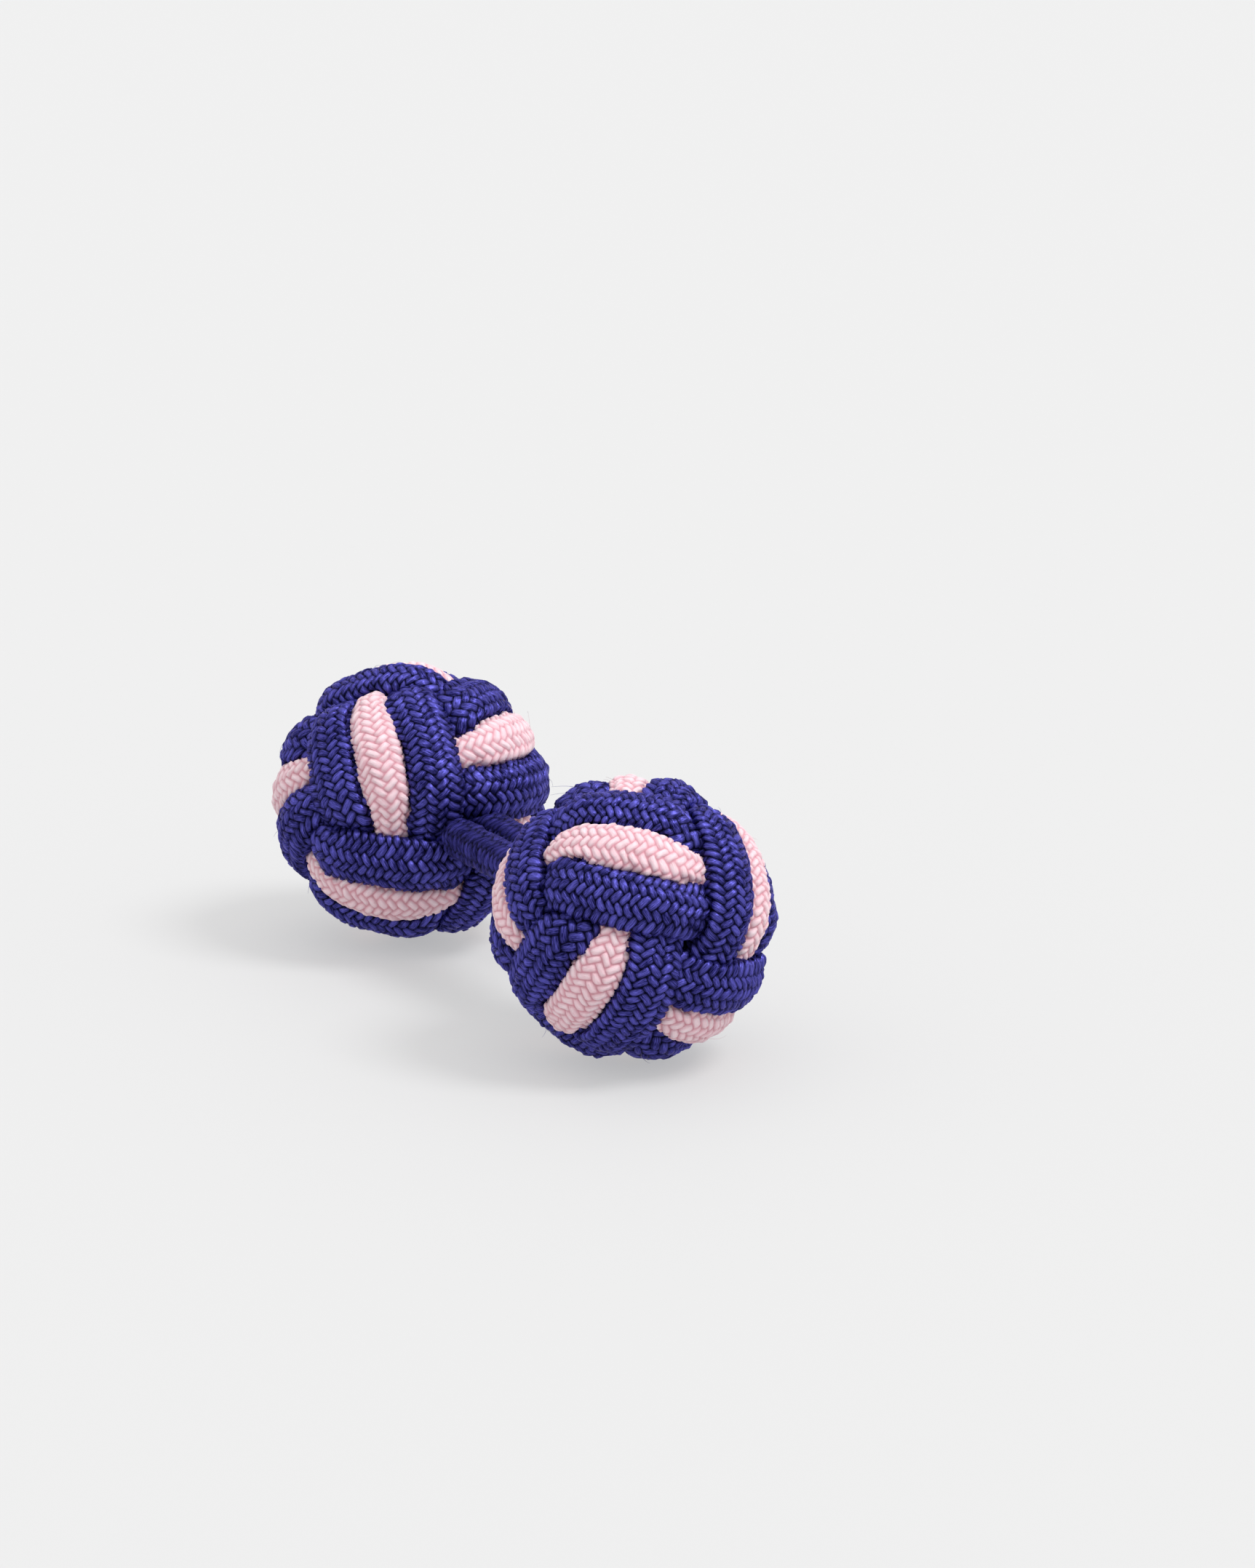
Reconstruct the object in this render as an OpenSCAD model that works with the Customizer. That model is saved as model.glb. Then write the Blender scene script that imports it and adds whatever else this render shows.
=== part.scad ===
// Silk knot cuff button: two ball knots of three braided cords each, joined by a short elastic shank.
// The shank lies along X, both knots rest on the surface Z = 0, and the origin is under the shank's middle.

/* [Knots] */
// Outside diameter of a ball knot
knot_d = 13; // [11:0.5:16]
// Distance between the middles of the two knots
knot_spacing = 21; // [19:0.5:26]
// Turn of the first knot about the shank, in degrees
first_turn = 4.5; // [0:0.5:90]
// Turn of the second knot about the shank, in degrees
second_turn = 21; // [0:0.5:90]

/* [Cords] */
// Angle between neighbouring cords, seen from the middle of the knot
cord_pitch = 20.5; // [18:0.5:20.5]
// Part of that angle which a cord fills
cord_fill = 0.93; // [0.8:0.01:0.94]
// Thickness of a cord, as a part of the knot's diameter
cord_thickness = 0.101; // [0.085:0.001:0.103]

/* [Weave] */
// Swing of the band north and south of the knot's equator: main wave, third wave, fifth wave, in degrees
latitude_swing = [47.1, -5.5, -1.55]; // [-60:0.05:60]
// Lead and lag of the band along the equator, in degrees
longitude_swing = -12.5; // [-14:0.1:0]
// Half the height between passing over and passing under, as a part of the knot's diameter
weave_height = 0.068; // [0.066:0.001:0.072]
// Rise of the middle cord, first and third wave
middle_rise = [1.04, 0.09]; // [0:0.01:1.2]
// Rise of a side cord, first and third wave
side_rise = [1.17, 0.185]; // [0:0.005:1.3]
// Lean of a side cord's rise towards the nearer pole: half, three-half and five-half waves
side_lean = [-0.065, -0.075, -0.035]; // [-0.2:0.005:0.1]
// Widening of the band along its path: cosine, three-half sine and double cosine
band_spread = [-0.08, -0.017, -0.078]; // [-0.15:0.001:0.1]

/* [Shank] */
// Diameter of each of the two elastic cords
shank_cord_d = 1.9; // [1.4:0.1:2.2]
// Diameter of the gathered elastic where it passes between the cords of a knot
shank_neck_d = 1.1; // [0.6:0.05:1.1]
// Play of the elastic's end knot in the hollow middle of a ball knot
shank_end_play = 0.15; // [0.1:0.05:0.5]

/* [Hidden] */

cord_rings = 112;
cord_sides = 10;
turns_round = 3;
waves_round = 4;
half_wave = 180 / waves_round;
nudge = 0.05;
knot_r = knot_d / 2;
half_thickness = knot_d * cord_thickness / 2;
rise_height = knot_d * weave_height;
// Rise of the crests above the even over-and-under wave, as a part of the knot's diameter
crest_share = 0.0048;
middle_r = knot_r - half_thickness - rise_height - crest_share * knot_d;
// Clearance between the elastic cords' ends and the ball knots
shank_seat = 0.05;
// Length over which the two cords are drawn together into the neck, and the diameter where that starts
gather_length = 0.6;
gather_d = 2.0;
// Depth by which the two elastic cords are pressed into each other, and the gathers into the cords
shank_join = 0.1;
blue = [0.20, 0.17, 0.58];
pink = [0.93, 0.72, 0.76];
navy = [0.13, 0.11, 0.42];

function unit(v) = v / norm(v);

// The band goes three times round the knot's axis while it swings north and south four times.
function latitude(t) =
    latitude_swing[0] * sin(waves_round * t)
    + latitude_swing[1] * sin(3 * waves_round * t)
    + latitude_swing[2] * sin(5 * waves_round * t);

function longitude(t) = turns_round * t + longitude_swing * sin(2 * waves_round * t);

function outward(t) =
    let (lat = latitude(t), lon = longitude(t))
    [cos(lat) * cos(lon), cos(lat) * sin(lon), sin(lat)];

function across(t) = unit(cross(outward(t), outward(t + nudge) - outward(t - nudge)));

// The left and right cords follow one rule, half a wave apart. lane is -1, 0 or 1.
function lane_angle(t, lane) = lane < 0 ? t + half_wave : t;

function spread(t) =
    let (wave = waves_round * t)
    1 + band_spread[0] * cos(2 * wave) + band_spread[1] * sin(3 * wave) + band_spread[2] * cos(4 * wave);

function lane_width(t, lane) =
    cord_pitch * (lane == 0 ? (spread(t) + spread(t + half_wave)) / 2 : spread(lane_angle(t, lane)));

function rise(t, lane) =
    let (wave = waves_round * lane_angle(t, lane))
    lane == 0
    ? middle_rise[0] * sin(2 * wave) + middle_rise[1] * sin(6 * wave)
    : side_rise[0] * sin(2 * wave) + side_rise[1] * sin(6 * wave)
      + side_lean[0] * cos(wave) + side_lean[1] * cos(3 * wave) + side_lean[2] * cos(5 * wave);

function reach(t, lane) = middle_r + rise_height * rise(t, lane);

function lane_outward(t, lane) =
    let (shift = lane * lane_width(t, lane))
    outward(t) * cos(shift) + across(t) * sin(shift);

function centre(t, lane) = lane_outward(t, lane) * reach(t, lane);

// One flattened ring of the cord, square to the cord's own course
function ring(t, lane) =
    let (
        middle = centre(t, lane),
        course = unit(centre(t + nudge, lane) - centre(t - nudge, lane)),
        side = unit(cross(lane_outward(t, lane), course)),
        top = unit(cross(course, side)),
        half_width = reach(t, lane) * tan(lane_width(t, lane) / 2) * cord_fill
    )
    [for (j = [0:cord_sides - 1])
        let (a = (j + 0.5) * 360 / cord_sides)
        middle + side * half_width * cos(a) + top * half_thickness * sin(a)];

function cord_points(lane) = [for (i = [0:cord_rings - 1]) each ring(i * 360 / cord_rings, lane)];

function cord_faces() = [
    for (i = [0:cord_rings - 1], j = [0:cord_sides - 1])
        let (
            next_i = (i + 1) % cord_rings,
            next_j = (j + 1) % cord_sides,
            a = i * cord_sides + j,
            b = i * cord_sides + next_j,
            c = next_i * cord_sides + next_j,
            d = next_i * cord_sides + j
        )
        each [[a, b, c], [a, c, d]]
];

// Rings of the left, middle and right cord, worked out once
lane_points = [for (lane = [-1:1]) cord_points(lane)];

// Depth of a knot's lowest point under the shank's axis, once the knot is turned about that axis
function depth(turn, side) =
    max([for (points = lane_points) for (p = points) p[1] * sin(turn) + side * p[0] * cos(turn)]);

rest_height = max(depth(first_turn, 1), depth(second_turn, -1));

// Distance from a knot's middle to the crowns of the cords round the shank, and to the innermost cord
pole_reach = max([for (points = lane_points) for (p = points) p[2]]);
inner_reach = min([for (points = lane_points) for (p = points) norm(p)]);

// The knot's own axis is laid along the shank, with the same end outward on both knots.
module in_knot(side) {
    translate([side * knot_spacing / 2, 0, rest_height])
        rotate([side > 0 ? first_turn : second_turn, 0, 0])
            rotate([0, -90 * side, 0])
                children();
}

module knot_cord(side, lane) {
    in_knot(side)
        polyhedron(points = lane_points[lane + 1], faces = cord_faces(), convexity = 10);
}

module blue_cord(side, lane) {
    color(blue) knot_cord(side, lane);
}

module pink_cord(side) {
    color(pink) knot_cord(side, 0);
}

// Two elastic cords side by side from ball to ball, gathered at each end into a neck that passes between
// the cords of the knot and ends in a knot of its own in the hollow middle of the ball
module elastic_shank() {
    cord_length = knot_spacing - 2 * (pole_reach + shank_seat);
    color(navy) translate([0, 0, rest_height]) rotate([0, 90, 0]) {
        for (side = [-1, 1])
            translate([0, side * (shank_cord_d - shank_join) / 2, 0])
                cylinder(h = cord_length, d = shank_cord_d, center = true, $fn = 48);
        cylinder(h = knot_spacing, d = shank_neck_d, center = true, $fn = 32);
        for (turn = [0, 180])
            rotate([turn, 0, 0]) {
                translate([0, 0, cord_length / 2 - shank_join])
                    cylinder(h = gather_length, d1 = gather_d, d2 = shank_neck_d, $fn = 32);
                translate([0, 0, knot_spacing / 2])
                    sphere(r = inner_reach - shank_end_play, $fn = 64);
            }
    }
}

blue_cord(1, -1);  // first_knot_left_blue_cord
pink_cord(1);  // first_knot_pink_cord
blue_cord(1, 1);  // first_knot_right_blue_cord
blue_cord(-1, -1);  // second_knot_left_blue_cord
pink_cord(-1);  // second_knot_pink_cord
blue_cord(-1, 1);  // second_knot_right_blue_cord
elastic_shank();
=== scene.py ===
"""Silk knot cuff button: two ball knots of braided silk cords, joined by a short elastic shank."""

import math

import bpy
import numpy as np
from mathutils import Matrix, Vector
from mathutils.bvhtree import BVHTree


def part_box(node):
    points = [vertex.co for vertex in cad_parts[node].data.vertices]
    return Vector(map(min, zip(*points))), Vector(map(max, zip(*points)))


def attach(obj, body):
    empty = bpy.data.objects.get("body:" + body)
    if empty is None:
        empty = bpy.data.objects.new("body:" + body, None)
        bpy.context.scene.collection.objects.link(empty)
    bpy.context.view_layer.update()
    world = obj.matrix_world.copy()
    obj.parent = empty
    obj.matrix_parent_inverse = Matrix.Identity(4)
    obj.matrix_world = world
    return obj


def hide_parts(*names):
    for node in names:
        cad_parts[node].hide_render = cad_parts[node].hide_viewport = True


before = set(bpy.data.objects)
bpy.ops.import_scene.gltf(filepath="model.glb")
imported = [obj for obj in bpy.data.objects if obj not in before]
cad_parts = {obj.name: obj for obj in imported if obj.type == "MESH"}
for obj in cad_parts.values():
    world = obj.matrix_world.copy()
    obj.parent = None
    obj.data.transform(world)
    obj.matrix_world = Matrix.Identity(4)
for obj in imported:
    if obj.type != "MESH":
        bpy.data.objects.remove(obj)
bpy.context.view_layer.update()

MM = 0.001
TURN = 2 * math.pi

# The place of the two knots, and the radius of the elastic's end knots. The height and the radius are read
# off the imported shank.
shank_low, shank_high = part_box("elastic_shank")
REST_HEIGHT = (shank_low.z + shank_high.z) / 2
KNOT_SPACING = 21 * MM
END_R = shank_high.x - KNOT_SPACING / 2

# A knot and its cords, in metres and degrees. The course is the one that the solids follow. Lane -1 is
# the left blue cord, lane 0 the pink one and lane 1 the right blue one.
KNOT_D = 13 * MM
CORD_PITCH = 20.5
CORD_FILL = {-1: 0.965, 0: 0.95, 1: 0.965}
HALF_THICKNESS = 0.70 * MM
MIDDLE_R = 4.897 * MM
RISE_HEIGHT = 0.068 * KNOT_D
LATITUDE_SWING = (47.1, -5.5, -1.55)
LONGITUDE_SWING = -12.5
MIDDLE_RISE = (1.04, 0.09)
SIDE_RISE = (1.17, 0.185)
SIDE_LEAN = (-0.065, -0.075, -0.035)
BAND_SPREAD = (-0.08, -0.017, -0.078)
TURNS_ROUND = 3
WAVES_ROUND = 4
LANE_LEAD = math.pi / WAVES_ROUND
FIRST_TURN = 4.5
SECOND_TURN = 21
LANES = {"left_blue": -1, "pink": 0, "right_blue": 1}

# How finely the courses are worked out: points along a cord and round an ellipse, and the step for
# directions
COURSE_POINTS = 6001
ELLIPSE_POINTS = 721
NUDGE = 0.001

# The braid of the knots' cords: yarns each way, picks along one cord, how far the yarns stand out, stray
# from their place and differ in height, and where a cell of the braid is divided. YARNS is even, so that
# the pattern closes round the cord. The first knot is nearer the camera and has the finer cells.
YARNS = 10
PICKS = 284
YARN_RELIEF = {-1: 0.14 * MM, 0: 0.11 * MM, 1: 0.14 * MM}
YARN_WANDER = 0.06 * MM
YARN_UNEVEN = 0.04 * MM
CELL_STEPS = (0.0, 0.22, 0.78)
FINE_STEPS = (0.0, 0.15, 0.5, 0.85)
CORD_FLATNESS = 0.78
ROUND = 1.0
# Powers that round the sides and the ends of a yarn where it lies on top
SIDE_POWER = 2.6
END_POWER = 4.0

# The elastic shank: two braided cords side by side, drawn together where they enter the knots, and a knot
# of their own in the hollow middle of each ball
ELASTIC_YARNS = 8
ELASTIC_PICKS = 38
ELASTIC_RELIEF = 0.12 * MM
ELASTIC_R = 0.95 * MM
ELASTIC_OFFSET = 0.93 * MM
NECK_HALF_WIDTH = 0.27 * MM
NECK_HALF_HEIGHT = 0.50 * MM
NECK_START = 4.2 * MM
NECK_END = 5.15 * MM
END_YARNS = 16
END_PICKS = 26
END_CLOSED = 0.995

# Loose filaments: how many a cord has, how thick they are, how far from a knot's middle they start, and
# how squarely the skin faces away from it there
STRAYS = 16
STRAY_R = 0.009 * MM
STRAY_RINGS = 7
STRAY_SIDES = 3
STRAY_REACH = 6.1 * MM
STRAY_FACING = 0.8
# Their length in millimetres, how steeply they leave the skin, how they droop and curl, their taper and
# shade, the start and width of their place across and along a yarn, and the margin between their flat maps
STRAY_LENGTH = (0.35, 1.1)
STRAY_LIFT = (0.25, 0.7)
STRAY_DROOP = (-0.7, 0.0)
STRAY_CURL = (-0.7, 0.7)
STRAY_TAPER = 0.6
STRAY_TONE = (0.6, 1.0)
STRAY_ACROSS = (0.3, 0.4)
STRAY_ALONG = (0.5, 1.0)
STRAY_MARGIN = 0.1

# Shares of a piece's flat map: a cord's skin and the strip of its strays, and the shank's cords under its
# end knots
SKIN_TOP = 0.97
STRAY_BOTTOM = 0.975
STRAY_STRIP = 0.02
SHANK_CORD_TOP = 0.4

# Starting points of the random draws, one more for each further cord of a knot
FIRST_SEED, SECOND_SEED, SHANK_SEED = 10, 20, 30

# How the soft cords swell into the room between them: sections and angles that are worked out, the
# furthest that a cord looks and swells, the room left between two cords, and the tilts in radians at
# which it looks
SWELL_RINGS = 360
SWELL_SIDES = 32
SWELL_SIGHT = 1.4 * MM
SWELL_MOST = {-1: 0.46 * MM, 0: 0.10 * MM, 1: 0.46 * MM}
SWELL_GAP = 0.02 * MM
SWELL_TILTS = (0.0, -0.6, 0.6)
# Small steps of swelling, the last steps that only draw overlaps back, the most that one step shrinks or
# swells, the most that a cord shrinks, and how each step is smoothed along the cord and round it
SWELL_STEPS = 9
SETTLE_STEPS = 3
STEP_DOWN, STEP_UP = 0.1 * MM, 0.07 * MM
SHRINK_MOST = 0.12 * MM
SMOOTHING = ((0, 0.25), (1, 0.16))
# Where a look starts outside the skin, and the deepest overlap that can be told from the far side of a
# cord
LOOK_START = 0.004 * MM
OVERLAP_MOST = 0.5 * MM

# Silk: how often the shade changes across a yarn and along it, how far apart the patterns of two yarns
# are, the share of the shade that a yarn has of its own, the shades at which the deep and the fair colour
# are reached, and the relief of the filaments
FILAMENTS_ACROSS = 11.0
FILAMENTS_ALONG = 1.3
FILAMENT_OFFSET = 50.0
OWN_SHADE = 0.16
DEEP_AT, FAIR_AT = 0.32, 0.68
FILAMENT_BUMP = 0.9
FILAMENT_DEPTH = 0.035 * MM
SILK_ANISOTROPY = 0.6
# Powers that keep the painted crease shade to a yarn's sides and ends, where shade falls between the yarns
PAINTED_SHADE_SIDE_POWER = 3.0
PAINTED_SHADE_END_POWER = 4.5

# The floor: half its width in metres, its colour, and the light of its own that keeps shadows pale
FLOOR_HALF = 4.0
FLOOR_COLOUR = (0.27, 0.27, 0.27)
FLOOR_ROUGHNESS = 0.7
FLOOR_SPECULAR = 0.2
FLOOR_GLOW = 0.43

# The light: the key's way in the picture's right, the scene's up and towards the camera, its width in
# degrees and strength, and the surrounding light from the side and from overhead with the heights between
# which it grows
KEY_RIGHT, KEY_UP, KEY_BACK = 0.6, 0.9, 0.2
KEY_WIDTH = 22
KEY_STRENGTH = 1.75
SKY_SIDE, SKY_OVERHEAD = 0.8, 1.2
SKY_LOW, SKY_HIGH = 0.1, 0.9

# The camera, in degrees and metres, and the pixel of the photograph at which the first knot's middle lies
VIEW_ELEVATION = 16.5
VIEW_TURN = 28.9
FRAME_HEIGHT = 70.0 * MM
IMAGE_W, IMAGE_H = 1725, 2156
FOCUS_PIXEL = (870, 1262)
LENS = 300
SENSOR = 36
CLIP_RANGE = 20


def unit(v):
    return v / np.linalg.norm(v, axis=1, keepdims=True)


def outward(t):
    """Direction from the knot's middle to the middle of the band, at t radians along its course."""
    wave = WAVES_ROUND * t
    latitude = np.radians(
        LATITUDE_SWING[0] * np.sin(wave)
        + LATITUDE_SWING[1] * np.sin(3 * wave)
        + LATITUDE_SWING[2] * np.sin(5 * wave)
    )
    longitude = TURNS_ROUND * t + np.radians(LONGITUDE_SWING) * np.sin(2 * wave)
    level = np.cos(latitude)
    return np.stack([level * np.cos(longitude), level * np.sin(longitude), np.sin(latitude)], 1)


def spread(t):
    """Widening of the band along its course, 1 being no change."""
    wave = WAVES_ROUND * t
    return (
        1 + BAND_SPREAD[0] * np.cos(2 * wave)
        + BAND_SPREAD[1] * np.sin(3 * wave)
        + BAND_SPREAD[2] * np.cos(4 * wave)
    )


def lane_time(t, lane):
    """The left and right cords follow one rule, half a wave apart."""
    return t + LANE_LEAD if lane < 0 else t


def lane_width(t, lane):
    """Angle that a cord of this lane takes up, in radians."""
    if lane == 0:
        share = (spread(t) + spread(t + LANE_LEAD)) / 2
    else:
        share = spread(lane_time(t, lane))
    return np.radians(CORD_PITCH) * share


def rise(t, lane):
    """Height of a cord over the middle of its weave, in parts of RISE_HEIGHT."""
    if lane == 0:
        wave = 2 * WAVES_ROUND * t
        return MIDDLE_RISE[0] * np.sin(wave) + MIDDLE_RISE[1] * np.sin(3 * wave)
    wave = WAVES_ROUND * lane_time(t, lane)
    return (
        SIDE_RISE[0] * np.sin(2 * wave) + SIDE_RISE[1] * np.sin(6 * wave)
        + SIDE_LEAN[0] * np.cos(wave) + SIDE_LEAN[1] * np.cos(3 * wave) + SIDE_LEAN[2] * np.cos(5 * wave)
    )


def lane_outward(t, lane):
    """Direction from the knot's middle to a cord's middle."""
    middle = outward(t)
    across = unit(np.cross(middle, outward(t + NUDGE) - outward(t - NUDGE)))
    shift = (lane * lane_width(t, lane))[:, None]
    return middle * np.cos(shift) + across * np.sin(shift)


def reach(t, lane):
    return MIDDLE_R + RISE_HEIGHT * rise(t, lane)


def centre(t, lane):
    return lane_outward(t, lane) * reach(t, lane)[:, None]


def knot_course(lane):
    """Course of one cord by the share of its length: middle, side, top, half width and half thickness."""
    t = np.linspace(0, TURN, COURSE_POINTS)
    steps = np.linalg.norm(np.diff(centre(t, lane), axis=0), axis=1)
    share = np.concatenate([[0], np.cumsum(steps)]) / steps.sum()

    def course(s):
        time = np.interp(s % 1.0, share, t)
        middle = centre(time, lane)
        along = unit(centre(time + NUDGE, lane) - centre(time - NUDGE, lane))
        side = unit(np.cross(lane_outward(time, lane), along))
        top = unit(np.cross(along, side))
        half_width = reach(time, lane) * np.tan(lane_width(time, lane) / 2) * CORD_FILL[lane]
        return middle, side, top, half_width, np.full(len(s), HALF_THICKNESS)

    return course


def section(course, s, angle, swell):
    """Points of a cord's skin at shares of its length and angles round it, the way out and the way along."""
    middle, side, top, half_width, half_thick = course(s)
    cos, sin = np.cos(angle)[:, None], np.sin(angle)[:, None]
    wide, thick = half_width[:, None], half_thick[:, None]
    out = unit(side * cos / wide + top * sin / thick)
    points = middle + side * cos * wide + top * sin * thick + out * swell[:, None]
    return points, out, unit(np.cross(side, top))


def look_round(tree, at, out, along):
    """Room from points of a skin to the next skin, ahead and beside. It is negative where they overlap."""
    lateral = np.cross(along, out)
    gaps = []
    for tilt in SWELL_TILTS:
        way = unit(out * math.cos(tilt) + lateral * math.sin(tilt))
        start = at + way * LOOK_START
        gap = np.full(len(at), np.inf)
        for n, (origin, ray) in enumerate(zip(start.tolist(), way.tolist())):
            hit, normal, _, distance = tree.ray_cast(origin, ray, SWELL_SIGHT)
            if hit is not None:
                inside = normal.dot(Vector(ray)) > 0
                gap[n] = -distance if inside and distance < OVERLAP_MOST else distance
        gaps.append(gap)
    return gaps[0], np.minimum(gaps[1], gaps[2])


def swell_cords():
    """How far each cord of a knot swells, along it and round it. Its course is four equal quarters."""
    lanes = tuple(LANES.values())
    rings, sides = SWELL_RINGS, SWELL_SIDES
    quarter = rings // WAVES_ROUND
    ring, turn = (v.ravel() for v in np.meshgrid(np.arange(rings), np.arange(sides), indexing="ij"))
    next_ring, next_turn = (ring + 1) % rings, (turn + 1) % sides
    corners = (ring, turn), (ring, next_turn), (next_ring, next_turn), (next_ring, turn)
    quads = np.stack([along_at * sides + round_at for along_at, round_at in corners], 1)
    courses = {lane: knot_course(lane) for lane in lanes}
    swell = {lane: np.zeros((quarter, sides)) for lane in lanes}
    frames = {}

    def tiled(lane):
        return np.tile(swell[lane], (WAVES_ROUND, 1)).ravel()

    for step in range(SWELL_STEPS + SETTLE_STEPS):
        settle = step >= SWELL_STEPS
        points, faces = [], []
        for k, lane in enumerate(lanes):
            frames[lane] = section(courses[lane], ring / rings, turn * TURN / sides, tiled(lane))
            points.append(frames[lane][0])
            faces.append(quads + k * rings * sides)
        tree = BVHTree.FromPolygons(np.concatenate(points).tolist(), np.concatenate(faces).tolist())
        for lane in lanes:
            at, out, along = (v[: quarter * sides] for v in frames[lane])
            ahead, beside = (v.reshape(quarter, sides) for v in look_round(tree, at, out, along))
            now = swell[lane]
            room_beside = np.where(np.isfinite(beside), beside / 2, 0)
            room = np.where(np.isfinite(ahead), (ahead - SWELL_GAP) / 2, room_beside)
            if settle:
                now = now + np.minimum(room, 0)
            else:
                now = now + np.clip(room, -STEP_DOWN, STEP_UP)
                now = np.clip(now, -SHRINK_MOST, SWELL_MOST[lane])
                for axis, share in SMOOTHING:
                    now = (1 - 2 * share) * now + share * (np.roll(now, 1, axis) + np.roll(now, -1, axis))
            swell[lane] = now
    return {lane: np.tile(swell[lane], (WAVES_ROUND, 1)) for lane in lanes}


def look_up(table, s, angle):
    """Smooth reading of a table that closes on itself both ways."""
    x = (s % 1.0) * table.shape[0]
    y = (angle / TURN % 1.0) * table.shape[1]
    i, j = np.floor(x).astype(int), np.floor(y).astype(int)
    u, v = x - i, y - j
    i, j = i % table.shape[0], j % table.shape[1]
    k, m = (i + 1) % table.shape[0], (j + 1) % table.shape[1]
    return (
        table[i, j] * (1 - u) * (1 - v) + table[k, j] * u * (1 - v)
        + table[i, m] * (1 - u) * v + table[k, m] * u * v
    )


def even_angle(share, flatness):
    """Angle on an ellipse at an even share of its outline, flatness being its thickness over its width."""
    angle = np.linspace(0, TURN, ELLIPSE_POINTS)
    speed = np.hypot(np.sin(angle), flatness * np.cos(angle))
    run = np.concatenate([[0], np.cumsum((speed[1:] + speed[:-1]) / 2)])
    return np.interp(share % 1.0, run / run[-1], angle)


def yarn_height(a, b):
    """Height of the braid from 0 in a groove to 1 on a crest. a and b count the yarns of either way."""
    i, j = np.floor(a), np.floor(b)
    kind = (i + j) % 4
    first_way = kind < 2
    x = np.where(first_way, a - i, b - j) - 0.5
    y = np.where(first_way, b - j, a - i) - np.where(kind % 2 < 1, 1.0, 0.0)
    return np.sqrt(np.clip(1 - np.abs(2 * x) ** SIDE_POWER - np.abs(y) ** END_POWER, 0, 1))


def braid_height(a, b):
    """The higher of the yarns that meet at a point, so that an edge between two cells has one height."""
    tiny = 1e-5
    return np.max([yarn_height(a + u, b + v) for u in (-tiny, tiny) for v in (-tiny, tiny)], axis=0)


class Skin:
    """One or more braided skins: points, quads, coordinates of the quads' corners, and the quads' tones."""

    def __init__(self):
        self.points, self.quads, self.yarn, self.sheet, self.tone = [], [], [], [], []
        self.count = 0

    def add(self, points, quads, yarn, sheet, tone):
        self.points.append(points)
        self.quads.append(quads + self.count)
        self.yarn.append(yarn)
        self.sheet.append(sheet)
        self.tone.append(tone)
        self.count += len(points)

    def make(self, name, place):
        """The object with this skin, moved to its place, and with nothing left below the floor."""
        points = np.concatenate(self.points) @ np.array(place.to_3x3()).T + np.array(place.translation)
        points[:, 2] = np.maximum(points[:, 2], 0)
        mesh = bpy.data.meshes.new(name)
        mesh.from_pydata(points.tolist(), [], np.concatenate(self.quads).tolist())
        for layer, parts in (("OFBake", self.sheet), ("yarn", self.yarn)):
            values = np.concatenate(parts).astype(np.float32)
            mesh.uv_layers.new(name=layer).uv.foreach_set("vector", values.ravel())
        tone = mesh.attributes.new("tone", "FLOAT", "FACE")
        tone.data.foreach_set("value", np.concatenate(self.tone).astype(np.float32))
        mesh.shade_smooth()
        piece = bpy.data.objects.new(name, mesh)
        bpy.context.scene.collection.objects.link(piece)
        return piece


def sheet_of(a, b, place, yarns, picks, rows, room):
    """Flat map of a braided skin, cut into rows of equal length, within room, a part of the unit square."""
    margin = 2
    length = 2 * picks / rows
    row = np.floor(place / length)
    x = ((a - b) - row * length + margin) / (length + 2 * margin)
    y = (row + (a + b + 0.5) / (2 * yarns + 2)) / rows
    left, bottom, right, top = room
    return np.stack([left + (right - left) * x, bottom + (top - bottom) * y], -1).reshape(-1, 2)


def braid_cells(yarns, picks):
    """The cells of a braid, (i, j) being where yarn i of the one way meets yarn j of the other.

    Gives i, j and the place along the cord. A yarn lies on top for two cells, so kind says which of the two
    yarns that is and whether this is its first cell or its second, and stretch numbers each such pair.
    """
    around, along = np.meshgrid(np.arange(2 * yarns), np.arange(picks), indexing="ij")
    column = around.ravel()
    place = (2 * along + around % 2).ravel()
    i, j = (column + place) // 2, (column - place) // 2
    kind = (i + j) % 4
    start_i = np.where(kind == 3, i - 1, i)
    start_j = np.where(kind == 1, j - 1, j)
    stretch = ((start_i + start_j) % (2 * yarns)) * 2 * picks + (start_i - start_j) % (2 * picks)
    return i, j, place, kind, stretch


def cell_quads(i, j, yarns, picks, steps, corners):
    """Quads of each cell, as indices of the skin's points. A corner may lie past the cell's far edges."""
    quads = []
    for p, r in corners:
        next_i, next_j = i[:, None] + p // steps, j[:, None] + r // steps
        around, along = (next_i + next_j) % (2 * yarns), (next_i - next_j) % (2 * picks)
        quads.append((around * picks + along // 2) * steps * steps + (p % steps) * steps + r % steps)
    return np.stack(quads, -1).reshape(-1, 4)


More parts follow.
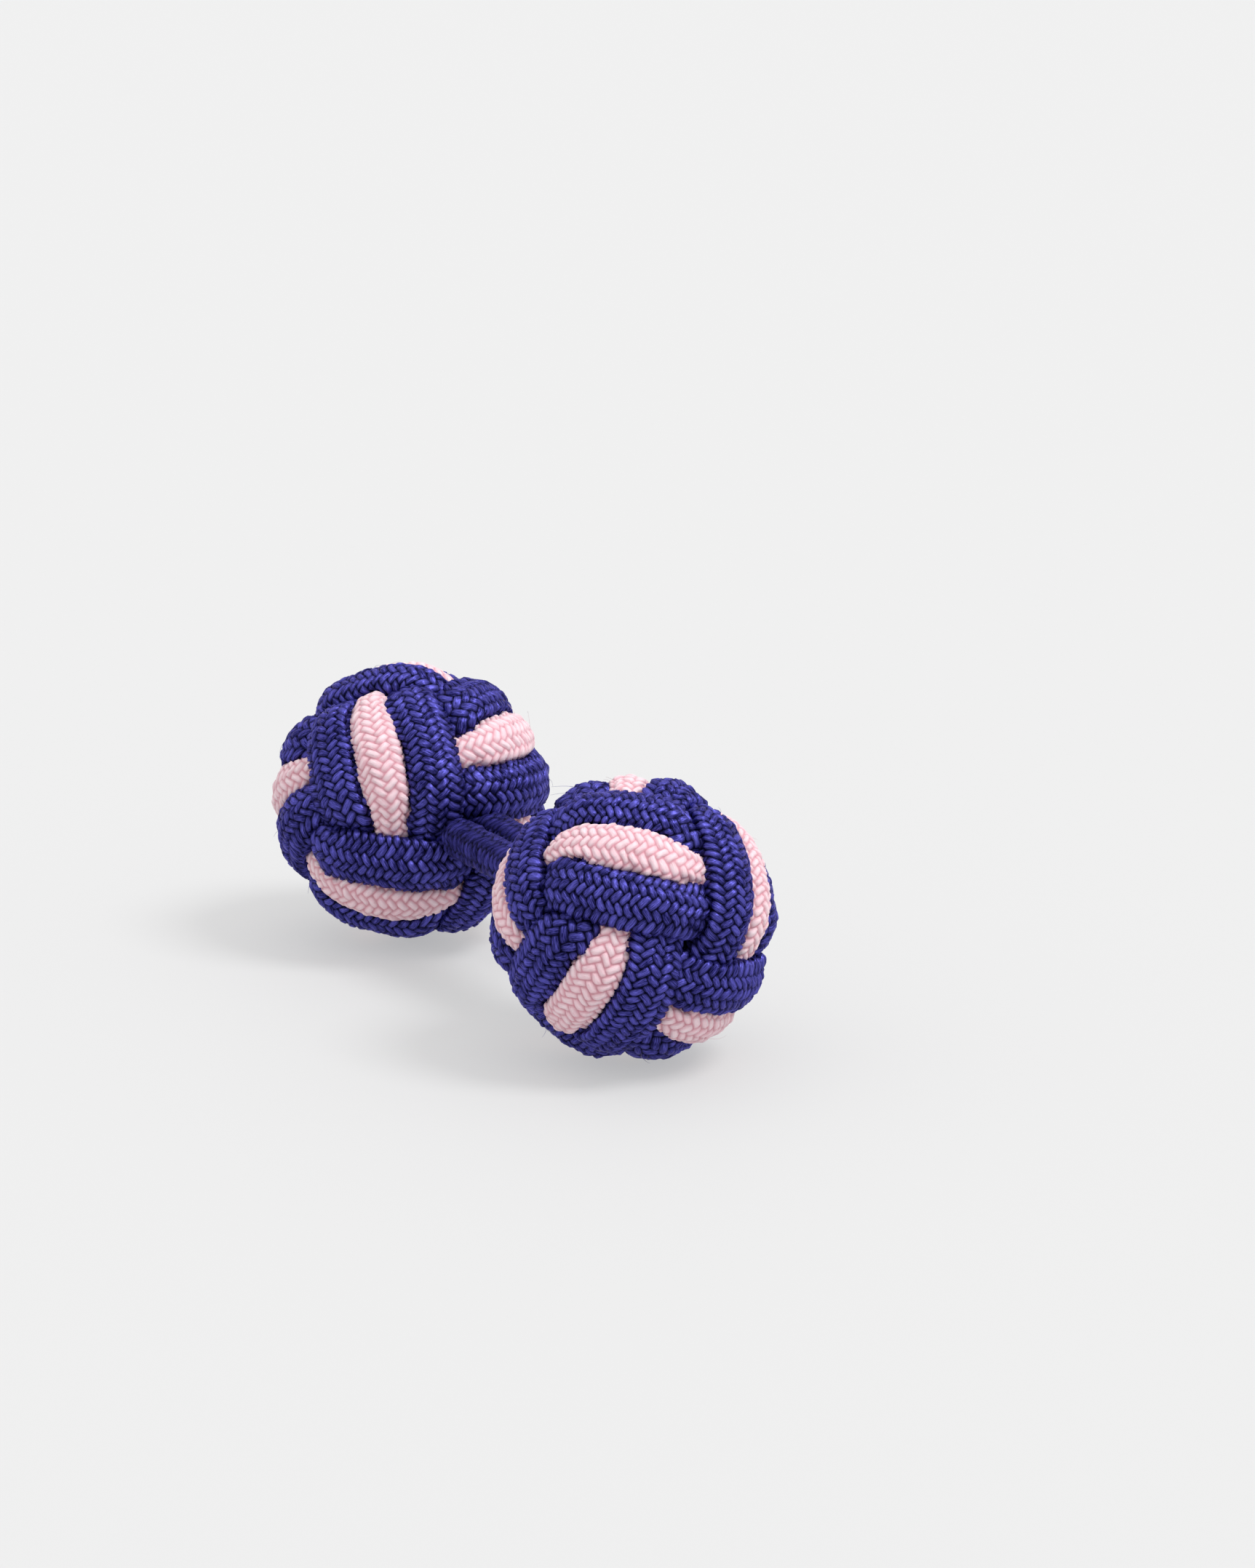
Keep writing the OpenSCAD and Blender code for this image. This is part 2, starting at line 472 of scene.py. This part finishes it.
def weave(skin, yarns, picks, flatness, relief, rng, shape, *, room, closed=True, rows=4,
          fractions=CELL_STEPS):
    """Adds one braided cord to a skin and returns its points and their ways out.

    shape(share, angle, height) gives points, the way out and the way along. room is the part of the flat map
    that the cord takes, in so many rows. A cord that isn't closed starts and ends.
    """
    steps = len(fractions)
    fractions = np.array(fractions)
    i, j, place, kind, stretch = braid_cells(yarns, picks)
    p, r = (v.ravel() for v in np.meshgrid(np.arange(steps), np.arange(steps), indexing="ij"))
    a = (i[:, None] + fractions[p]).ravel()
    b = (j[:, None] + fractions[r]).ravel()
    share = (a - b) / (2 * picks) % 1.0
    angle = even_angle((a + b) / (2 * yarns), flatness)
    height = braid_height(a, b)
    low = relief * (1 - height)
    lift, sway, slip = (
        YARN_WANDER * look_up(rng.uniform(-1, 1, (picks, 2 * yarns)), share, angle) for _ in range(3)
    )
    own = YARN_UNEVEN * np.repeat(rng.uniform(-1, 1, 4 * yarns * picks)[stretch], steps * steps) * height
    points, out, forward = shape(share, angle, lift + own - low)
    points += forward * slip[:, None] + np.cross(forward, out) * sway[:, None]

    around_p, around_r = np.stack([p, p, p + 1, p + 1]), np.stack([r, r + 1, r + 1, r])
    quads = cell_quads(i, j, yarns, picks, steps, zip(around_p, around_r))
    edge = np.append(fractions, 1.0)
    u, v = edge[around_p].T, edge[around_r].T
    first_way = (kind < 2)[:, None, None]
    across = np.where(first_way, u, v)
    along_yarn = np.where(first_way, v, u) + (kind % 2)[:, None, None]
    tone = np.repeat(rng.random(4 * yarns * picks)[stretch], steps * steps)
    corner_a, corner_b = i[:, None, None] + u, j[:, None, None] + v
    sheet = sheet_of(corner_a, corner_b, place[:, None, None], yarns, picks, rows, room)
    coordinates = np.stack([across, along_yarn], -1).reshape(-1, 2)
    if not closed:
        reached = (corner_a - corner_b).reshape(-1, 4)
        inside = (reached.min(1) >= 0) & (reached.max(1) < 2 * picks)
        kept, quads = np.unique(quads[inside], return_inverse=True)
        quads = quads.reshape(-1, 4)
        points, out = points[kept], out[kept]
        corners = np.repeat(inside, 4)
        coordinates, sheet, tone = coordinates[corners], sheet[corners], tone[inside]
    skin.add(points, quads, coordinates, sheet, tone)
    return points, out


def add_strays(skin, points, out, rng):
    """Loose filaments that stand out of the skin here and there, as thin tubes on a curved course."""
    radius = np.linalg.norm(points, axis=1)
    free = np.flatnonzero((radius > STRAY_REACH) & (np.sum(out * points, axis=1) > STRAY_FACING * radius))
    for n, base in enumerate(rng.choice(free, STRAYS)):
        length = rng.uniform(*STRAY_LENGTH) * MM
        sideways = np.cross(out[base], rng.normal(size=3))
        sideways /= np.linalg.norm(sideways)
        way = out[base] * rng.uniform(*STRAY_LIFT) + sideways
        droop, curl = rng.uniform(*STRAY_DROOP), rng.uniform(*STRAY_CURL)
        bend = out[base] * droop + np.cross(out[base], sideways) * curl
        s = np.linspace(0, 1, STRAY_RINGS)[:, None]
        spine = points[base] + (way * s + bend * s**2) * length
        first, second = np.cross(way, out[base]), np.cross(way, np.cross(way, out[base]))
        turn = np.arange(STRAY_SIDES) * TURN / STRAY_SIDES
        ring = (first * np.cos(turn)[:, None] + second * np.sin(turn)[:, None]) * STRAY_R
        tube = (spine[:, None, :] + ring[None] * (1 - STRAY_TAPER * s[:, :, None])).reshape(-1, 3)
        grid = np.meshgrid(np.arange(STRAY_RINGS - 1), np.arange(STRAY_SIDES), indexing="ij")
        k, m = (v.ravel() for v in grid)
        near, beside = STRAY_SIDES * k + m, STRAY_SIDES * k + (m + 1) % STRAY_SIDES
        quads = np.stack([near, beside, beside + STRAY_SIDES, near + STRAY_SIDES], 1)
        u = np.stack([m, m + 1, m + 1, m], 1) / STRAY_SIDES
        v = np.stack([k, k, k + 1, k + 1], 1) / (STRAY_RINGS - 1)
        across = STRAY_ACROSS[0] + STRAY_ACROSS[1] * u
        along = STRAY_ALONG[0] + STRAY_ALONG[1] * v
        yarn = np.stack([across, along], -1).reshape(-1, 2)
        sheet_x = (n + STRAY_MARGIN + (1 - 2 * STRAY_MARGIN) * v) / STRAYS
        sheet = np.stack([sheet_x, STRAY_BOTTOM + STRAY_STRIP * u], -1).reshape(-1, 2)
        skin.add(tube, quads, yarn, sheet, np.full(len(quads), rng.uniform(*STRAY_TONE)))


def knot_place(side):
    """Matrix from a knot's own frame to the part's."""
    turn = FIRST_TURN if side > 0 else SECOND_TURN
    return (
        Matrix.Translation((side * KNOT_SPACING / 2, 0, REST_HEIGHT))
        @ Matrix.Rotation(math.radians(turn), 4, "X")
        @ Matrix.Rotation(math.radians(-90 * side), 4, "Y")
    )


def node(tree, kind, **settings):
    """A new node, with settings for its sockets and its properties."""
    made = tree.nodes.new(kind)
    for key, value in settings.items():
        if key in made.inputs:
            made.inputs[key].default_value = value
        else:
            setattr(made, key, value)
    return made


def maths(tree, operation, first, second=None, third=None):
    """A sum on sockets and numbers."""
    made = node(tree, "ShaderNodeMath", operation=operation)
    for slot, value in enumerate((first, second, third)):
        if isinstance(value, (int, float)):
            made.inputs[slot].default_value = value
        elif value is not None:
            tree.links.new(value, made.inputs[slot])
    return made.outputs[0]


def yarn_place(tree):
    """The place across a yarn from 0 to 1, the place along it from 0 to 2, and the yarn's own tone."""
    uv = node(tree, "ShaderNodeUVMap", uv_map="yarn")
    parts = node(tree, "ShaderNodeSeparateXYZ")
    tree.links.new(uv.outputs["UV"], parts.inputs[0])
    tone = node(tree, "ShaderNodeAttribute", attribute_name="tone")
    return parts.outputs[0], parts.outputs[1], tone.outputs["Fac"]


def filament_noise(tree, u, v, tone):
    """Fine streaks along a yarn, different on each yarn."""
    place = node(tree, "ShaderNodeCombineXYZ")
    scales = (u, FILAMENTS_ACROSS), (v, FILAMENTS_ALONG), (tone, FILAMENT_OFFSET)
    for slot, (socket, scale) in enumerate(scales):
        tree.links.new(maths(tree, "MULTIPLY", socket, scale), place.inputs[slot])
    noise = node(tree, "ShaderNodeTexNoise", Scale=1.0, Detail=2.0, Roughness=0.6)
    tree.links.new(place.outputs[0], noise.inputs["Vector"])
    return noise.outputs["Fac"]


def painted_shade_mask(tree, u, v):
    """Where shade is painted: 0 on the crest of a yarn, growing towards its sides and its ends, in the
    creases between yarns.
    """
    from_middle = maths(tree, "ABSOLUTE", maths(tree, "MULTIPLY_ADD", u, 2.0, -1.0))
    from_waist = maths(tree, "ABSOLUTE", maths(tree, "SUBTRACT", v, 1.0))
    side_shade = maths(tree, "POWER", from_middle, PAINTED_SHADE_SIDE_POWER)
    end_shade = maths(tree, "POWER", from_waist, PAINTED_SHADE_END_POWER)
    return maths(tree, "ADD", side_shade, end_shade)


def silk(name, *, deep, fair, painted_crease_shade, glint, gloss, lustre, roughness):
    """Braided silk. Each yarn has its own shade of colour and fine filaments along it, and painted shade
    darkens its sides and ends, in the creases between yarns.
    """
    material = bpy.data.materials.new(name)
    material.use_nodes = True
    tree = material.node_tree
    shader = tree.nodes["Principled BSDF"]
    shader.inputs["Roughness"].default_value = roughness
    shader.inputs["Specular IOR Level"].default_value = gloss
    shader.inputs["Specular Tint"].default_value = (*glint, 1)
    shader.inputs["Metallic"].default_value = lustre
    shader.inputs["Anisotropic"].default_value = SILK_ANISOTROPY
    across = node(tree, "ShaderNodeTangent", direction_type="UV_MAP", uv_map="yarn")
    tree.links.new(across.outputs[0], shader.inputs["Tangent"])

    u, v, tone = yarn_place(tree)
    filaments = filament_noise(tree, u, v, tone)
    fine_shade = maths(tree, "MULTIPLY", filaments, 1 - OWN_SHADE)
    shade = maths(tree, "MULTIPLY_ADD", tone, OWN_SHADE, fine_shade)
    ramp = node(tree, "ShaderNodeValToRGB")
    ramp.color_ramp.elements[0].position = DEEP_AT
    ramp.color_ramp.elements[0].color = (*deep, 1)
    ramp.color_ramp.elements[1].position = FAIR_AT
    ramp.color_ramp.elements[1].color = (*fair, 1)
    tree.links.new(shade, ramp.inputs[0])

    # Painted shade: towards a yarn's sides and ends the colour is mixed with a dark crease colour that
    # stands in for the shade between yarns
    painted_shading = node(tree, "ShaderNodeMix", data_type="RGBA", blend_type="MIX")
    tree.links.new(painted_shade_mask(tree, u, v), painted_shading.inputs["Factor"])
    tree.links.new(ramp.outputs["Color"], painted_shading.inputs["A"])
    painted_shading.inputs["B"].default_value = (*painted_crease_shade, 1)
    tree.links.new(painted_shading.outputs["Result"], shader.inputs["Base Color"])

    bump = node(tree, "ShaderNodeBump", Strength=FILAMENT_BUMP, Distance=FILAMENT_DEPTH)
    tree.links.new(filaments, bump.inputs["Height"])
    tree.links.new(bump.outputs["Normal"], shader.inputs["Normal"])
    return material


# The third colour of each silk is painted shade, for the creases between yarns
blue_silk = silk(
    "blue_silk",
    deep=(0.003, 0.003, 0.055), fair=(0.125, 0.118, 0.570), painted_crease_shade=(0.0005, 0.0005, 0.012),
    glint=(0.60, 0.55, 1.0), gloss=0.22, lustre=0.7, roughness=0.33,
)
pink_silk = silk(
    "pink_silk",
    deep=(0.82, 0.54, 0.60), fair=(0.84, 0.69, 0.73), painted_crease_shade=(0.66, 0.31, 0.37),
    glint=(1.0, 0.97, 0.97), gloss=0.35, lustre=0.0, roughness=0.45,
)
navy_elastic = silk(
    "navy_elastic",
    deep=(0.003, 0.003, 0.045), fair=(0.065, 0.060, 0.340), painted_crease_shade=(0.0005, 0.0005, 0.010),
    glint=(0.60, 0.55, 1.0), gloss=0.3, lustre=0.6, roughness=0.40,
)


def knot_shape(lane, swell):
    """The shape that weave needs for one cord of a knot, swollen as the table says."""
    course = knot_course(lane)
    return lambda share, angle, height: section(course, share, angle, look_up(swell, share, angle) + height)


def dress_knot(knot, side, seed, fractions):
    """The three braids of a knot. side is 1 for the first knot and -1 for the second."""
    for order, (cord, lane) in enumerate(LANES.items()):
        rng = np.random.default_rng(seed + order)
        skin = Skin()
        points, out = weave(
            skin, YARNS, PICKS, CORD_FLATNESS, YARN_RELIEF[lane], rng, knot_shape(lane, swells[lane]),
            room=(0, 0, 1, SKIN_TOP), fractions=fractions
        )
        add_strays(skin, points, out, rng)
        piece = skin.make(f"{knot}_{cord}_braid", knot_place(side))
        is_pink = lane == 0
        piece.data.materials.append(pink_silk if is_pink else blue_silk)
        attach(piece, "root")
        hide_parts(f"{knot}_{cord}_cord")


def elastic_shape(side):
    """One of the two cords of the shank, in a frame whose origin is the middle of the shank."""
    half_length = KNOT_SPACING / 2 - END_R + NECK_HALF_WIDTH

    def shape(share, angle, height):
        x = (2 * share - 1) * half_length
        t = np.clip((np.abs(x) - NECK_START) / (NECK_END - NECK_START), 0, 1)
        drawn = t * t * (3 - 2 * t)
        offset = side * (ELASTIC_OFFSET + (NECK_HALF_WIDTH - ELASTIC_OFFSET) * drawn)
        wide = ELASTIC_R + (NECK_HALF_WIDTH - ELASTIC_R) * drawn + height
        tall = ELASTIC_R + (NECK_HALF_HEIGHT - ELASTIC_R) * drawn + height
        cos, sin, none = np.cos(angle), np.sin(angle), np.zeros(len(x))
        points = np.stack([x, offset + wide * cos, tall * sin], 1)
        return points, np.stack([none, cos, sin], 1), np.stack([none + 1, none, none], 1)

    return shape


def end_shape(side):
    """The knot at one end of the elastic, a ball that opens towards the neck."""
    start, end = math.asin(NECK_HALF_HEIGHT / END_R), math.pi * END_CLOSED

    def shape(share, angle, height):
        polar = start + (end - start) * share
        r = END_R + height
        cos, sin = np.cos(angle), side * np.sin(angle)
        out = np.stack([-side * np.cos(polar), np.sin(polar) * cos, np.sin(polar) * sin], 1)
        forward = np.stack([side * np.sin(polar), np.cos(polar) * cos, np.cos(polar) * sin], 1)
        return np.array([side * KNOT_SPACING / 2, 0, 0]) + out * r[:, None], out, forward

    return shape


def dress_shank():
    """The shank's two braided cords and the knots at their ends, as one piece."""
    skin = Skin()
    rng = np.random.default_rng(SHANK_SEED)
    for side, left in ((-1, 0.0), (1, 0.5)):
        right = left + 0.5
        weave(
            skin, ELASTIC_YARNS, ELASTIC_PICKS, ROUND, ELASTIC_RELIEF, rng, elastic_shape(side),
            closed=False, rows=1, room=(left, 0, right, SHANK_CORD_TOP)
        )
        weave(
            skin, END_YARNS, END_PICKS, ROUND, ELASTIC_RELIEF, rng, end_shape(side),
            closed=False, rows=1, room=(left, SHANK_CORD_TOP, right, 1)
        )
    piece = skin.make("elastic_shank_braid", Matrix.Translation((0, 0, REST_HEIGHT)))
    piece.data.materials.append(navy_elastic)
    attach(piece, "root")
    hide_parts("elastic_shank")


swells = swell_cords()
dress_knot("first_knot", 1, FIRST_SEED, FINE_STEPS)
dress_knot("second_knot", -1, SECOND_SEED, CELL_STEPS)
dress_shank()


def floor_material():
    """A plain pale floor that gives off a little light."""
    material = bpy.data.materials.new("floor")
    material.use_nodes = True
    shader = material.node_tree.nodes["Principled BSDF"]
    shader.inputs["Base Color"].default_value = (*FLOOR_COLOUR, 1)
    shader.inputs["Roughness"].default_value = FLOOR_ROUGHNESS
    shader.inputs["Specular IOR Level"].default_value = FLOOR_SPECULAR
    shader.inputs["Emission Color"].default_value = (1, 1, 1, 1)
    shader.inputs["Emission Strength"].default_value = FLOOR_GLOW
    return material


def add_floor():
    mesh = bpy.data.meshes.new("floor")
    corners = [(x * FLOOR_HALF, y * FLOOR_HALF, 0) for x, y in ((-1, -1), (1, -1), (1, 1), (-1, 1))]
    mesh.from_pydata(corners, [], [(0, 1, 2, 3)])
    floor = bpy.data.objects.new("floor", mesh)
    bpy.context.scene.collection.objects.link(floor)
    mesh.materials.append(floor_material())


def add_camera():
    """A long lens at the photograph's angle, with the first knot's middle at its pixel in the picture.

    Gives the directions to the picture's right and to the camera.
    """
    turn, tilt = math.radians(VIEW_TURN), math.radians(VIEW_ELEVATION)
    back = Vector((math.cos(turn) * math.cos(tilt), -math.sin(turn) * math.cos(tilt), math.sin(tilt)))
    right = Vector((math.sin(turn), math.cos(turn), 0))
    up = back.cross(right)
    pixel = FRAME_HEIGHT / IMAGE_H
    offset_right = (FOCUS_PIXEL[0] - IMAGE_W / 2) * pixel
    offset_down = (FOCUS_PIXEL[1] - IMAGE_H / 2) * pixel
    knot_middle = Vector((KNOT_SPACING / 2, 0, REST_HEIGHT))
    target = knot_middle - right * offset_right + up * offset_down
    data = bpy.data.cameras.new("camera")
    data.lens = LENS
    data.sensor_width = SENSOR
    distance = FRAME_HEIGHT / 2 / (SENSOR / 2 / LENS)
    data.clip_start, data.clip_end = distance / CLIP_RANGE, distance * CLIP_RANGE
    camera = bpy.data.objects.new("camera", data)
    axes = Matrix([right, up, back]).transposed().to_4x4()
    camera.matrix_world = Matrix.Translation(target + back * distance) @ axes
    bpy.context.scene.collection.objects.link(camera)
    bpy.context.scene.camera = camera
    return right, back


def add_sun(name, toward, width, strength):
    """A wide soft light from far away, as bright at the picture's edge as in its middle."""
    data = bpy.data.lights.new(name, "SUN")
    data.angle = math.radians(width)
    data.energy = strength
    light = bpy.data.objects.new(name, data)
    light.rotation_mode = "QUATERNION"
    light.rotation_quaternion = toward.to_track_quat("Z", "Y")
    bpy.context.scene.collection.objects.link(light)


def add_world():
    """Soft light from all round, stronger overhead."""
    world = bpy.data.worlds.new("world")
    world.use_nodes = True
    tree = world.node_tree
    place = node(tree, "ShaderNodeTexCoord")
    parts = node(tree, "ShaderNodeSeparateXYZ")
    tree.links.new(place.outputs["Generated"], parts.inputs[0])
    ramp = node(tree, "ShaderNodeMapRange")
    ramp.inputs["From Min"].default_value = SKY_LOW
    ramp.inputs["From Max"].default_value = SKY_HIGH
    ramp.inputs["To Min"].default_value = SKY_SIDE
    ramp.inputs["To Max"].default_value = SKY_OVERHEAD
    tree.links.new(parts.outputs[2], ramp.inputs["Value"])
    tree.links.new(ramp.outputs["Result"], tree.nodes["Background"].inputs["Strength"])
    tree.nodes["Background"].inputs["Color"].default_value = (1, 1, 1, 1)
    bpy.context.scene.world = world


add_floor()
right, back = add_camera()
add_sun("key", right * KEY_RIGHT + Vector((0, 0, KEY_UP)) + back * KEY_BACK, KEY_WIDTH, KEY_STRENGTH)
add_world()
bpy.context.scene.view_settings.view_transform = "Standard"
